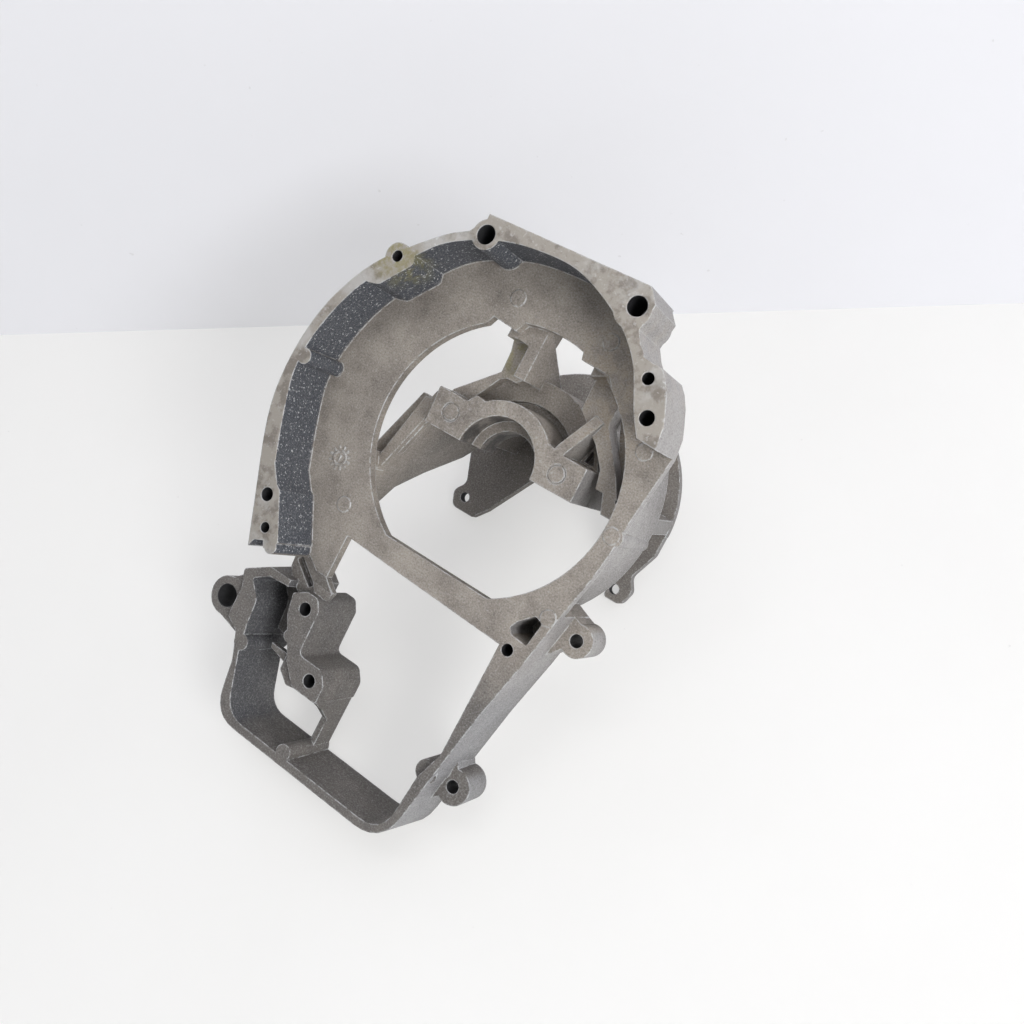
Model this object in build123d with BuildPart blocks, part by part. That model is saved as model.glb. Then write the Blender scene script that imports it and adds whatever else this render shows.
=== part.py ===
from build123d import *
import math
import os

os.makedirs("parts", exist_ok=True)

# All sizes in millimetres. The casting is drawn in its own axes: the crank axis is
# the normal of the sketch levels, the joint face with the other half is v = 0,
# u runs along that joint, and level 0 is the front of the cooling-fan floor.

# Levels along the crank axis
RIM_TOP = 22.0
FLOOR = 0.0
FLOOR_T = 4.0
TOP_SKIRT = 7.0
FRAME_DEPTH = 27.0
FRAME_DRAFT = 2.5
RING_DEPTH = 32.0
RING_DRAFT = 3.0
WEB_T = 4.0
SHOULDER_T = 6.0
WEB_FRONT = -20.0
SEAT_FRONT = -2.4
LUG_DEPTH = 20.0
BLOCK_FRONT = -12.0
ARM_FRONT = -10.0
ARM_T = 8.0
CHAMBER_FRONT = -20.0
CHAMBER_WALL = 5.0
RING_WALL = 5.5
COLLAR_WALL = 5.8
FLANGE_FRONT = -84.0
FLANGE_T = 4.5
EAR_FRONT = -13.5
EAR_T = 15.0
FOOT_FRONT = -2.0
FOOT_T = 14.0

# Fan opening, bearing seat and crank chamber
OPENING_R = 50.0
CHORD_V = -44.0
BAR_V = -55.5
BAR_LEFT_U = -38.5
FRAME_IN_U = 36.0
RING_R = OPENING_R + RING_WALL
SEAT_R = 16.0
SEAT_OUT_R = SEAT_R + COLLAR_WALL
SEAT_DEPTH = 11.0
INNER_BORE_R = 12.0
CHAMBER_R = 34.0
CHAMBER_IN_R = CHAMBER_R - CHAMBER_WALL
FLANGE_R = 48.8

# Holes
CORNER_D = 7.0
COVER_D = 4.2
LEFT_D = 5.2
END_D = 4.0
STUD_D = 5.3
FOOT_D = 9.0
FOOT_R = 8.0
EAR_D = 5.0
FRAME_D = 4.5
LUG_D = 4.4
CASE_D = 5.0
CASE_DEPTH = 11.0
BLIND = 16.0
DISC_R = 3.0
DISC_H = 0.4

# Height of the scroll, and the boss centres that follow it
TOP_V = 75.0
TOP_LEFT_U = -32.4
TOP_RIGHT_U = 32.7
TOP_AT = (-30.1, TOP_V - 6.9)
CORNER_AT = (31.5, TOP_V - 7.5)
COVER_AT = (-58.7, TOP_V - 26.6)
PAD_AT = (46.2, TOP_V - 26.5)
PAD_LOW_AT = (52.0, TOP_V - 37.7)
LEFT_AT = (-63.9, -50.3)
END_AT = (-58.3, -61.2)
STUD_AT = (-40.6, -85.8)
STAY_AT = (-24.9, -108.2)
FOOT_AT = (-76.8, -100.3)
FRAME_AT = (39.6, -55.7)
EAR_A_AT = (56.3, -42.7)
EAR_B_AT = (41.2, -113.8)
EAR_A_R = 6.3
EAR_B_R = 7.0
BACK_L_AT = (-41.9, -28.3)
BACK_R_AT = (40.0, -29.7)
CASE_U = 26.5
CASE_H = -12.5

# Lowest edges, on which the casting lies
LUG_BOTTOM_V = -34.5
FRAME_BOTTOM_V = -142.6

# Volute rim, seen along the crank axis
VOLUTE_OUT = [(-61.6, -70.5), (-67.8, -54.8), (-78.5, -26.7), (-81.5, -8.0), (-79.9, 12.0),
              (-74.6, TOP_V - 46.5), (-64.7, TOP_V - 30.5), (-46.5, TOP_V - 14.0), (-36.6, TOP_V - 8.0)]
VOLUTE_IN = [(52.0, TOP_V - 44.8), (46.8, TOP_V - 37.4), (38.5, TOP_V - 23.5), (26.1, TOP_V - 13.1),
             (8.0, TOP_V - 5.3), (-8.7, TOP_V - 4.5), (-24.1, TOP_V - 7.0), (-41.7, TOP_V - 14.4),
             (-53.6, TOP_V - 25.3), (-67.6, TOP_V - 41.8), (-75.5, 13.4), (-77.4, -3.9),
             (-73.4, -20.4), (-66.8, -38.9), (-59.6, -50.6), (-51.2, -61.7)]
PAD_OUT = [(37.0, TOP_V - 4.8), (35.9, TOP_V - 14.0), (38.8, TOP_V - 18.1), (42.0, TOP_V - 21.2),
           (48.9, TOP_V - 21.8), (51.5, TOP_V - 24.5), (54.3, TOP_V - 28.8), (56.4, TOP_V - 33.4),
           (58.3, TOP_V - 38.0), (59.4, TOP_V - 45.4)]
RIM_END = [(-52.2, -66.6), (-55.1, -68.2), (-56.6, -65.7), (-60.4, -67.3)]

# Lower frame at the floor level
FRAME_RIGHT = [(55.5, -8.0), (54.0, -19.0), (51.0, -36.0), (47.0, -58.0), (42.0, -81.0),
               (38.0, -104.0), (34.0, -129.0)]
FRAME_TIP = [(29.0, -137.0), (18.0, FRAME_BOTTOM_V)]
FRAME_LEFT = [(-42.0, FRAME_BOTTOM_V), (-53.0, -138.8), (-59.0, -129.0), (-61.0, -119.0),
              (-65.5, -109.0), (-71.0, -106.0), (-71.0, -93.0), (-73.8, -85.5), (-62.5, -79.5)]
FRAME_INNER = [(-60.0, -82.5), (-66.8, -88.7), (-62.3, -94.2), (-61.2, -99.5), (-61.9, -106.7),
               (-59.0, -115.0), (-54.0, -130.0), (-50.0, -136.0), (-38.0, -139.2),
               (14.0, -139.2), (23.0, -136.5), (29.0, -130.0), (31.2, -122.0), (32.0, -113.0),
               (36.0, -101.0), (36.0, -55.5)]

# The casting lies on its two back lugs and on the lower back edge of the frame
FOOT_EDGE_V = FRAME_BOTTOM_V - FRAME_DEPTH * math.tan(math.radians(FRAME_DRAFT))
REST_TILT = math.atan2((FRAME_DEPTH + FLANGE_FRONT - FLANGE_T) * -1.0, LUG_BOTTOM_V - FOOT_EDGE_V)
CRANK_HEIGHT = -(LUG_BOTTOM_V * math.sin(REST_TILT) + (FLANGE_FRONT - FLANGE_T) * math.cos(REST_TILT))
CRANK_X = -(FOOT_AT[0] - FOOT_R + EAR_A_AT[0] + EAR_A_R) / 2
FRONT_Y = FRAME_BOTTOM_V * math.cos(REST_TILT)
BACK_Y = FLANGE_R * math.cos(REST_TILT) - (FLANGE_FRONT - FLANGE_T) * math.sin(REST_TILT)
CRANK_Y = -(FRONT_Y + BACK_Y) / 2
crank = Plane(origin=(CRANK_X, CRANK_Y, CRANK_HEIGHT), x_dir=(1, 0, 0),
              z_dir=(0, -math.sin(REST_TILT), math.cos(REST_TILT)))


def level(h):
    return crank.offset(h)


with BuildPart() as crankcase:
    # floor of the fan scroll, with the bar across the bottom of its round opening
    with BuildSketch(level(FLOOR)):
        with BuildLine():
            Spline(*VOLUTE_OUT)
            Polyline(VOLUTE_OUT[-1], (TOP_LEFT_U, TOP_V - 1.9), (TOP_LEFT_U, TOP_V), (TOP_RIGHT_U, TOP_V),
                     *PAD_OUT)
            Polyline(PAD_OUT[-1], (RING_R, 0), *FRAME_RIGHT[:5], (FRAME_IN_U, -81.0),
                     (FRAME_IN_U, BAR_V), (BAR_LEFT_U, BAR_V), (BAR_LEFT_U, -70.6),
                     (-44.0, -70.6), (-50.0, -66.6), VOLUTE_OUT[0])
        make_face()
        with BuildSketch(mode=Mode.PRIVATE) as opening:
            Circle(OPENING_R)
            with Locations((-20.4, OPENING_R - 8.4)):
                Rectangle(8.0, 6.6)
            with Locations((17.5, OPENING_R - 6.4)):
                Rectangle(9.0, 6.0, rotation=-20)
            with Locations((0, CHORD_V - OPENING_R)):
                Rectangle(3 * OPENING_R, 2 * OPENING_R, mode=Mode.SUBTRACT)
        add(opening.sketch, mode=Mode.SUBTRACT)
    extrude(amount=-FLOOR_T)

    # raised rim of the scroll, with the thick pad at its right end
    with BuildSketch(level(RIM_TOP)):
        with BuildLine():
            Spline(*VOLUTE_OUT)
            Polyline(VOLUTE_OUT[-1], (TOP_LEFT_U, TOP_V - 1.9), (TOP_LEFT_U, TOP_V), (TOP_RIGHT_U, TOP_V),
                     *PAD_OUT, VOLUTE_IN[0])
            Spline(*VOLUTE_IN)
            Polyline(VOLUTE_IN[-1], *RIM_END, VOLUTE_OUT[0])
        make_face()
        with Locations(COVER_AT):
            Circle(4.5)
        with Locations(TOP_AT):
            Circle(5.4)
        with Locations((30.5, TOP_V - 9.0)):
            Circle(6.5)
    extrude(amount=-(RIM_TOP + FLOOR_T))

    # straight top edge runs a little deeper than the floor
    with BuildSketch(level(-FLOOR_T)):
        with Locations(((TOP_LEFT_U + TOP_RIGHT_U) / 2, TOP_V - 2.0)):
            Rectangle(TOP_RIGHT_U - TOP_LEFT_U, 4.0)
    extrude(amount=-(TOP_SKIRT - FLOOR_T))

    # deep wall under the ring on the right side of the opening
    with BuildSketch(level(FLOOR)):
        with BuildLine():
            ring_out = CenterArc((0, 0), RING_R, -38, 66)
            ring_in = CenterArc((0, 0), OPENING_R, -38, 66)
            Line(ring_out @ 0, ring_in @ 0)
            Line(ring_out @ 1, ring_in @ 1)
        make_face()
    extrude(amount=-RING_DEPTH, taper=-RING_DRAFT)

    # lower frame: a drafted wall round the cylinder window
    with BuildSketch(level(FLOOR)):
        with BuildLine():
            Polyline((FRAME_IN_U, BAR_V), (34.0, BAR_V), (34.0, -44.0), (43.0, -33.0),
                     *FRAME_RIGHT[2:], *FRAME_TIP, *FRAME_LEFT, *FRAME_INNER)
        make_face()
    extrude(amount=-FRAME_DEPTH, taper=-FRAME_DRAFT)

    # web at the back of the pocket between the left wall and the stud bosses
    with BuildSketch(level(WEB_FRONT)):
        with BuildLine():
            Polyline((-66.0, -84.0), (-62.0, -80.0), (-50.0, -80.0), (-38.0, -84.0), (-38.0, -110.0),
                     (-46.0, -109.0), (-54.0, -107.0), (-64.0, -105.0), close=True)
        make_face()
    extrude(amount=-WEB_T)

    # stud bosses: a stepped block that stands beside the window
    with BuildSketch(level(FLOOR)):
        with BuildLine():
            Polyline((-48.8, -82.9), (-44.0, -80.2), (-38.2, -80.4), (-35.4, -83.0), (-35.2, -101.4),
                     (-22.6, -101.8), (-19.6, -104.6), (-14.5, -113.0), (-13.8, -118.0),
                     (-20.0, -116.0), (-30.0, -114.7), (-37.6, -114.7), (-38.8, -106.5),
                     (-43.5, -99.5), (-45.2, -93.3), close=True)
        make_face()
    extrude(amount=-FRAME_DEPTH)

    # thin wall from the lower boss down to the bottom of the frame
    with BuildSketch(level(-6.0)):
        with BuildLine():
            Polyline((-24.0, -112.0), (-14.5, -112.0), (-14.5, -118.0), (-18.0, -128.0),
                     (-16.0, -141.0), (-24.0, -141.0), (-22.5, -128.0), close=True)
        make_face()
    extrude(amount=-(FRAME_DEPTH - 6.0))

    # shoulder between the rim end, the floor and the upper stud boss
    with BuildSketch(level(FLOOR)):
        with BuildLine():
            Polyline((-38.5, -64.0), (-38.5, -71.5), (-42.0, -82.0), (-48.7, -84.0), (-55.0, -79.0),
                     (-56.0, -75.0), (-52.0, -66.0), (-46.0, -64.0), close=True)
        make_face()
    extrude(amount=-SHOULDER_T)
    # end wall of the pocket, from the left wall across to the shoulder
    with BuildSketch(level(-SHOULDER_T)):
        with BuildLine():
            Polyline((-72.0, -86.0), (-70.0, -83.0), (-62.0, -79.0), (-52.0, -79.0), (-48.0, -84.0),
                     (-54.0, -84.0), (-60.0, -83.5), (-66.0, -87.5), close=True)
        make_face()
    extrude(amount=-(FRAME_DEPTH - SHOULDER_T))
    with BuildSketch(level(9.0)):
        with BuildLine():
            Polyline((-47.4, -65.6), (-48.2, -69.6), (-43.6, -70.2), (-38.0, -73.0),
                     (-36.8, -70.8), (-42.0, -66.8), close=True)
        make_face()
    extrude(amount=-9.0)

    # foot ear on the left wall and the two fixing ears on the right wall
    with BuildSketch(level(FOOT_FRONT)):
        with Locations(FOOT_AT):
            Circle(FOOT_R)
        with BuildLine():
            Polyline((-78.0, -93.0), (-73.0, -88.0), (-66.0, -92.0), (-66.0, -107.0),
                     (-77.0, -108.0), close=True)
        make_face()
    extrude(amount=-FOOT_T)
    with BuildSketch(level(EAR_FRONT)):
        with Locations(EAR_A_AT):
            Circle(EAR_A_R)
        with BuildLine():
            Polyline((55.0, -36.6), (47.0, -34.0), (46.0, -56.0), (53.0, -48.0), close=True)
        make_face()
    extrude(amount=-EAR_T)
    with BuildSketch(level(EAR_FRONT)):
        with Locations(EAR_B_AT):
            Circle(EAR_B_R)
        with BuildLine():
            Polyline((40.0, -107.0), (34.0, -103.0), (32.0, -124.0), (38.0, -120.0), close=True)
        make_face()
    extrude(amount=-EAR_T)
    with BuildSketch(level(-2.0)):
        with Locations((33.5, -110.1)):
            Circle(4.5)
    extrude(amount=-(FRAME_DEPTH - 2.0))

    # crank chamber: a half bowl behind the joint face
    with BuildSketch(level(CHAMBER_FRONT)):
        Circle(CHAMBER_R)
        with Locations((0, -CHAMBER_R)):
            Rectangle(2.2 * CHAMBER_R, 2 * CHAMBER_R, mode=Mode.SUBTRACT)
    extrude(amount=-(CHAMBER_FRONT - FLANGE_FRONT))
    with BuildSketch(level(CHAMBER_FRONT - CHAMBER_WALL)):
        Circle(CHAMBER_IN_R)
    extrude(amount=-(CHAMBER_FRONT - FLANGE_FRONT - CHAMBER_WALL), mode=Mode.SUBTRACT)

    # bearing seat collar and the two joint lugs beside it
    with BuildSketch(level(SEAT_FRONT)):
        Circle(SEAT_OUT_R)
        with BuildLine():
            Polyline((-16.0, 0.0), (-33.0, 0.0), (-33.0, 14.5), (-18.5, 14.5), (-14.0, 14.0),
                     close=True)
        make_face()
        with BuildLine():
            Polyline((16.0, 0.0), (33.0, 0.0), (33.0, 13.5), (14.0, 13.5), close=True)
        make_face()
        with Locations((0, -CHAMBER_R)):
            Rectangle(3 * CHAMBER_R, 2 * CHAMBER_R, mode=Mode.SUBTRACT)
    extrude(amount=-(LUG_DEPTH))

    # block that carries the right lug over to the ring wall
    with BuildSketch(level(BLOCK_FRONT)):
        with BuildLine():
            Polyline((30.0, 0.0), (OPENING_R + 2.0, 0.0), (OPENING_R + 2.0, 5.0), (42.0, 5.0),
                     (42.0, 14.0), (30.0, 13.0), close=True)
        make_face()
    extrude(amount=-10.0)

    # cast arms from the chamber up to the floor of the scroll
    with BuildSketch(level(ARM_FRONT)):
        with BuildLine():
            Polyline((-19.4, OPENING_R + 2.0), (-6.0, OPENING_R + 3.0), (-4.0, 44.0), (-4.6, 30.0),
                     (-17.8, 27.0), (-17.7, 37.1), close=True)
        make_face()
        with BuildLine():
            Polyline((16.2, OPENING_R + 2.0), (29.0, OPENING_R - 4.0), (30.5, 29.0), (40.4, 17.3),
                     (42.0, 12.0), (34.0, 10.0), (17.5, 28.0), close=True)
        make_face()
    extrude(amount=-ARM_T)
    with BuildSketch(level(-FLOOR_T)):
        with BuildLine():
            CenterArc((0, 0), OPENING_R + 3.5, 97, 14)
            CenterArc((0, 0), OPENING_R - 0.5, 97, 14)
            Line(PolarLocations(OPENING_R + 3.5, 1, 97).locations[0].position,
                 PolarLocations(OPENING_R - 0.5, 1, 97).locations[0].position)
            Line(PolarLocations(OPENING_R + 3.5, 1, 111).locations[0].position,
                 PolarLocations(OPENING_R - 0.5, 1, 111).locations[0].position)
        make_face()
    extrude(amount=ARM_FRONT + FLOOR_T)

    with BuildSketch(level(ARM_FRONT)):
        with BuildLine():
            Polyline((-OPENING_R - 2.5, -20.0), (-43.5, 7.7), (-37.0, 8.5), (-33.0, 12.0), (-31.0, 0.0),
                     (-36.0, 0.0), (-43.5, -23.3), (-46.5, -28.0), close=True)
        make_face()
    extrude(amount=-6.0)
    with BuildSketch(level(-FLOOR_T)):
        with BuildLine():
            Polyline((-OPENING_R - 4.0, -20.0), (-OPENING_R - 2.0, -12.0), (-47.0, -14.0),
                     (-44.0, -23.3), (-48.0, -28.5), close=True)
        make_face()
    extrude(amount=ARM_FRONT + FLOOR_T)

    # deep gusset behind the left arm, cut off along a slant below
    with BuildSketch(Plane(origin=crank.from_local_coords((-36.0, 0.0, ARM_FRONT)),
                           x_dir=crank.from_local_coords((-7.5, -23.3, 0)) - crank.origin,
                           z_dir=crank.from_local_coords((23.3, -7.5, 0)) - crank.origin)):
        with BuildLine():
            Polyline((0.0, 0.0), (25.0, 0.0), (27.0, 4.0), (8.0, 48.0), (6.0, 76.0), (-12.0, 76.0),
                     (-12.0, 0.0), close=True)
        make_face()
    extrude(amount=-WEB_T)

    # gusset bar from the right lug up to the right arm
    with BuildSketch(level(SEAT_FRONT - 2.0)):
        with BuildLine():
            Polyline((18.8, 12.0), (18.8, 17.2), (24.9, 30.4), (28.7, 30.3), (26.1, 12.0), close=True)
        make_face()
    extrude(amount=-18.0)

    # back flange, with its lug arms below the joint
    with BuildSketch(level(FLANGE_FRONT)):
        Circle(FLANGE_R)
        with Locations((0, -FLANGE_R)):
            Rectangle(2.2 * FLANGE_R, 2 * FLANGE_R, mode=Mode.SUBTRACT)
        with BuildLine():
            Polyline((-48.8, 2.0), (-49.0, -9.0), (-45.4, -21.3), (-47.1, -26.4), (-46.8, -30.9),
                     (-43.6, LUG_BOTTOM_V), (-33.5, LUG_BOTTOM_V), (-30.0, -29.8), (-31.2, -26.8),
                     (-17.4, -6.9), (-12.0, 0.0), (-12.0, 2.0), close=True)
        make_face()
        with BuildLine():
            Polyline((48.8, 2.0), (48.6, -9.0), (44.8, -22.6), (46.9, -26.3), (47.0, -29.6),
                     (45.5, -32.4), (43.5, LUG_BOTTOM_V), (38.6, LUG_BOTTOM_V), (34.0, -30.0), (30.0, -14.0),
                     (22.0, 0.0), (22.0, 2.0), close=True)
        make_face()
        Circle(INNER_BORE_R, mode=Mode.SUBTRACT)
    extrude(amount=-FLANGE_T)

    # bearing seat and the smaller bore behind it
    with BuildSketch(level(SEAT_FRONT)):
        Circle(SEAT_R)
    extrude(amount=-SEAT_DEPTH, mode=Mode.SUBTRACT)
    with BuildSketch(level(SEAT_FRONT)):
        Circle(INNER_BORE_R)
    extrude(amount=-(FLANGE_T - FLANGE_FRONT + SEAT_FRONT), mode=Mode.SUBTRACT)

    # tapped holes in the rim and in the bosses
    with BuildSketch(level(RIM_TOP)):
        for spot, size in ((COVER_AT, COVER_D), (TOP_AT, CORNER_D), (CORNER_AT, CORNER_D),
                           (PAD_AT, COVER_D), (PAD_LOW_AT, LEFT_D), (LEFT_AT, LEFT_D),
                           (END_AT, END_D)):
            with Locations(spot):
                Circle(size / 2)
    extrude(amount=-BLIND, mode=Mode.SUBTRACT)
    with BuildSketch(level(FLOOR)):
        for spot, size in ((STUD_AT, STUD_D), (STAY_AT, STUD_D), (FRAME_AT, FRAME_D)):
            with Locations(spot):
                Circle(size / 2)
    extrude(amount=-BLIND, mode=Mode.SUBTRACT)

    # through holes in the ears and in the back lugs
    with BuildSketch(level(FLOOR)):
        with Locations(FOOT_AT):
            Circle(FOOT_D / 2)
    extrude(amount=-FRAME_DEPTH, mode=Mode.SUBTRACT)
    with BuildSketch(level(EAR_FRONT)):
        with Locations(EAR_A_AT, EAR_B_AT):
            Circle(EAR_D / 2)
    extrude(amount=-2 * EAR_T, mode=Mode.SUBTRACT)
    with BuildSketch(level(FLANGE_FRONT)):
        with Locations(BACK_L_AT, BACK_R_AT):
            Circle(LUG_D / 2)
    extrude(amount=-FLANGE_T, mode=Mode.SUBTRACT)

    # case bolts in the joint face of both lugs
    with BuildSketch(Plane(origin=crank.from_local_coords((0, 0, CASE_H)), x_dir=(1, 0, 0),
                           z_dir=crank.y_dir)):
        with Locations((-CASE_U, 0), (CASE_U, 0)):
            Circle(CASE_D / 2)
    extrude(amount=CASE_DEPTH, mode=Mode.SUBTRACT)

    # deep cored pocket beside the bar
    with BuildSketch(level(FLOOR)):
        with BuildLine():
            Polyline((36.9, -47.6), (38.2, -45.2), (43.1, -40.2), (46.0, -41.6), (45.0, -50.6),
                     (38.1, -50.1), close=True)
        make_face()
    extrude(amount=-(FRAME_DEPTH - 6.0), mode=Mode.SUBTRACT)

crankcase.part.label = "crankcase"
crankcase.part.color = Color(0.60, 0.58, 0.55)
export_step(crankcase.part, "parts/crankcase.step")
box = crankcase.part.bounding_box()
print("box", box.min, box.max)
print("volume cm3", round(crankcase.part.volume / 1000, 1), "solids", len(crankcase.part.solids()))
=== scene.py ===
"""Looks of a die-cast crankcase half lying on a pale table.

The casting is drawn in its own axes, in millimetres: u runs along the joint with the other half, v across
it, and h along the crank axis, counted from the upper face of the scroll floor. Mould.row turns a point in
them into the row frame, in metres.
"""

import logging
import math
from dataclasses import dataclass, field
from enum import Enum

import bmesh
import bpy
from mathutils import Matrix, Vector
from mathutils.geometry import tessellate_polygon


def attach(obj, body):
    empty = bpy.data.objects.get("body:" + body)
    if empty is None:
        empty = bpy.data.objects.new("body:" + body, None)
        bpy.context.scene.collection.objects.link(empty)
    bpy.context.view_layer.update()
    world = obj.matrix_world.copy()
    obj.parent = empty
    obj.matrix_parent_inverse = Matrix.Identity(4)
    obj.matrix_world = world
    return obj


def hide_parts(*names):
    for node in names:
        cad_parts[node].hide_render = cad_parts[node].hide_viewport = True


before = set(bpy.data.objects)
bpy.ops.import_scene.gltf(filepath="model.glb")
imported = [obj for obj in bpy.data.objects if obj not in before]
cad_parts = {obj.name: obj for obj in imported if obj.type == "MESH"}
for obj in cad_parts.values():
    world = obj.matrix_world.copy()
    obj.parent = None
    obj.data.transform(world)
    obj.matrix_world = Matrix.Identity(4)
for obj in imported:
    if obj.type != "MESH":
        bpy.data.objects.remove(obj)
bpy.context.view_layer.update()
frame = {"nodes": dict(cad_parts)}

log = logging.getLogger("crankcase")

MM = 0.001

# How the casting lies: its crank axis leans back by TILT and meets the scroll floor at CRANK_FOOT.
TILT = math.atan2(0.490447, 0.871471)
CRANK_FOOT = Vector((11.1, 19.1697, 94.0456))

RIM_TOP = 22.0
WINDOW_TOP = -55.5
WINDOW_RIGHT = 36.0
RING_WALL_FOOT = -32.0
SMALL_EAR_TOP = -13.5
SMALL_EAR_FOOT = -28.5
SHARP_ANGLE = math.radians(28)

Point = tuple[float, float]
Span = tuple[float, float]
Triple = tuple[float, float, float]


class Tone(Enum):
    """Colours of the casting and its surroundings, linear."""

    FLOOR = (0.385, 0.345, 0.300)
    # Painted pool of light on the upper floor.
    FLOOR_DARK = (0.195, 0.170, 0.148)
    LIT_TAN = (0.52, 0.44, 0.345)
    # The scroll wall's own dark blue-grey, also used as painted shade on the pocket walls.
    WALL_AND_SHADE = (0.060, 0.071, 0.092)
    OUTSIDE = (0.40, 0.405, 0.425)
    RIM = (0.43, 0.395, 0.35)
    RIM_STAIN = (0.20, 0.175, 0.15)
    BARE = (0.72, 0.72, 0.71)
    # The lower frame's own dark tone, also used as painted shade on the faces far behind the floor.
    FRAME_AND_SHADE = (0.120, 0.112, 0.106)
    # Oxidised white, also used as painted highlight along the edges.
    OXIDE_AND_HIGHLIGHT = (0.66, 0.67, 0.68)
    # Dark grime on the grain, also used as painted shade in the holes and the bearing seat.
    GRIME_AND_SHADE = (0.022, 0.022, 0.024)
    SULPHUR = (0.36, 0.33, 0.11)
    TABLE = (0.80, 0.79, 0.77)
    BACKDROP = (0.74, 0.745, 0.81)
    GLOW = (1.0, 0.995, 0.985)

    @property
    def rgba(self) -> tuple[float, float, float, float]:
        """The colour with full alpha."""
        return (*self.value, 1.0)


@dataclass(frozen=True)
class Hole:
    """A tapped or plain hole along the crank axis, whose wall looks nearly black in the object and is painted
    dark, as painted shade.
    """

    u: float
    v: float
    radius: float
    low: float
    high: float


RIM_SPAN: Span = (6.0, 23.0)
BLOCK_SPAN: Span = (-16.0, 1.0)
EAR_SPAN: Span = (-30.0, -12.5)
FOOT_SPAN: Span = (-28.5, 1.0)
LUG_SPAN: Span = (-90.0, -83.0)

COVER_EAR: Point = (-58.7, 48.4)
PAD_LEFT: Point = (-30.1, 68.1)
FOOT_EAR: Point = (-76.8, -100.3)
UPPER_EAR: Point = (56.3, -42.7)
LOWER_EAR: Point = (41.2, -113.8)

HOLES = (
    Hole(*COVER_EAR, 2.1, *RIM_SPAN),
    Hole(*PAD_LEFT, 3.5, *RIM_SPAN),
    Hole(31.5, 67.5, 3.5, *RIM_SPAN),
    Hole(46.2, 48.5, 2.1, *RIM_SPAN),
    Hole(52.0, 37.3, 2.6, *RIM_SPAN),
    Hole(-63.9, -50.3, 2.6, *RIM_SPAN),
    Hole(-58.3, -61.2, 2.0, *RIM_SPAN),
    Hole(-40.6, -85.8, 2.65, *BLOCK_SPAN),
    Hole(-24.9, -108.2, 2.65, *BLOCK_SPAN),
    Hole(39.6, -55.7, 2.25, *BLOCK_SPAN),
    Hole(*UPPER_EAR, 2.5, *EAR_SPAN),
    Hole(*LOWER_EAR, 2.5, *EAR_SPAN),
    Hole(*FOOT_EAR, 4.5, *FOOT_SPAN),
    Hole(-41.9, -28.3, 2.2, *LUG_SPAN),
    Hole(40.0, -29.7, 2.2, *LUG_SPAN),
)


def polar(radius: float, degrees: float) -> Point:
    """A point by its distance from the crank axis and its angle.

    Args:
        radius: Distance in millimetres.
        degrees: Angle from the u axis.

    Returns:
        The point (u, v).
    """
    angle = math.radians(degrees)
    return (radius * math.cos(angle), radius * math.sin(angle))


def arc(radius: float, start: float, end: float, centre: Point = (0.0, 0.0)) -> list[Point]:
    """Points along an arc, one for about every 3 degrees.

    Args:
        radius: Radius in millimetres.
        start: First angle in degrees.
        end: Last angle in degrees.
        centre: Centre of the arc.

    Returns:
        The points, both ends included.
    """
    count = max(6, round(abs(end - start) / 3))
    spots = (polar(radius, start + (end - start) * i / count) for i in range(count + 1))
    return [(centre[0] + u, centre[1] + v) for u, v in spots]


def circle(centre: Point, radius: float) -> list[Point]:
    """A closed circle.

    Args:
        centre: Its centre.
        radius: Its radius in millimetres.

    Returns:
        Points round the circle, the first not repeated.
    """
    return [(centre[0] + u, centre[1] + v) for u, v in (polar(radius, 360 * i / 32) for i in range(32))]


def smooth(knots: list[Point]) -> list[Point]:
    """A smooth line through the knots.

    Args:
        knots: Points that the line passes through.

    Returns:
        Points along the line.
    """
    ends = [(2 * knots[0][0] - knots[1][0], 2 * knots[0][1] - knots[1][1])]
    tail = [(2 * knots[-1][0] - knots[-2][0], 2 * knots[-1][1] - knots[-2][1])]
    chain = [Vector(p) for p in ends + knots + tail]
    line = []
    for a, b, c, d in zip(chain, chain[1:], chain[2:], chain[3:]):
        into, out = (c - a) / 2, (d - b) / 2
        for i in range(8):
            t = i / 8
            spot = b * (2 * t**3 - 3 * t**2 + 1) + into * (t**3 - 2 * t**2 + t) \
                + c * (3 * t**2 - 2 * t**3) + out * (t**3 - t**2)
            line.append((spot.x, spot.y))
    return line + [knots[-1]]


def rounded(corners: list[Point], radii: float | tuple[float, ...]) -> list[Point]:
    """A closed outline with rounded corners.

    Args:
        corners: The corners in order.
        radii: One radius for all corners, or one for each, in millimetres.

    Returns:
        The outline with an arc at each rounded corner.
    """
    sizes = radii if isinstance(radii, tuple) else (radii,) * len(corners)
    outline = []
    for index, (corner, size) in enumerate(zip(corners, sizes)):
        here = Vector(corner)
        back = Vector(corners[index - 1]) - here
        ahead = Vector(corners[(index + 1) % len(corners)]) - here
        if size <= 0:
            outline.append(corner)
            continue
        half = back.angle(ahead) / 2
        reach = min(size / math.tan(half), 0.49 * back.length, 0.49 * ahead.length)
        begin, end = here + back.normalized() * reach, here + ahead.normalized() * reach
        for i in range(7):
            t = i / 6
            spot = begin * (1 - t) ** 2 + here * 2 * t * (1 - t) + end * t**2
            outline.append((spot.x, spot.y))
    return outline


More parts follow.
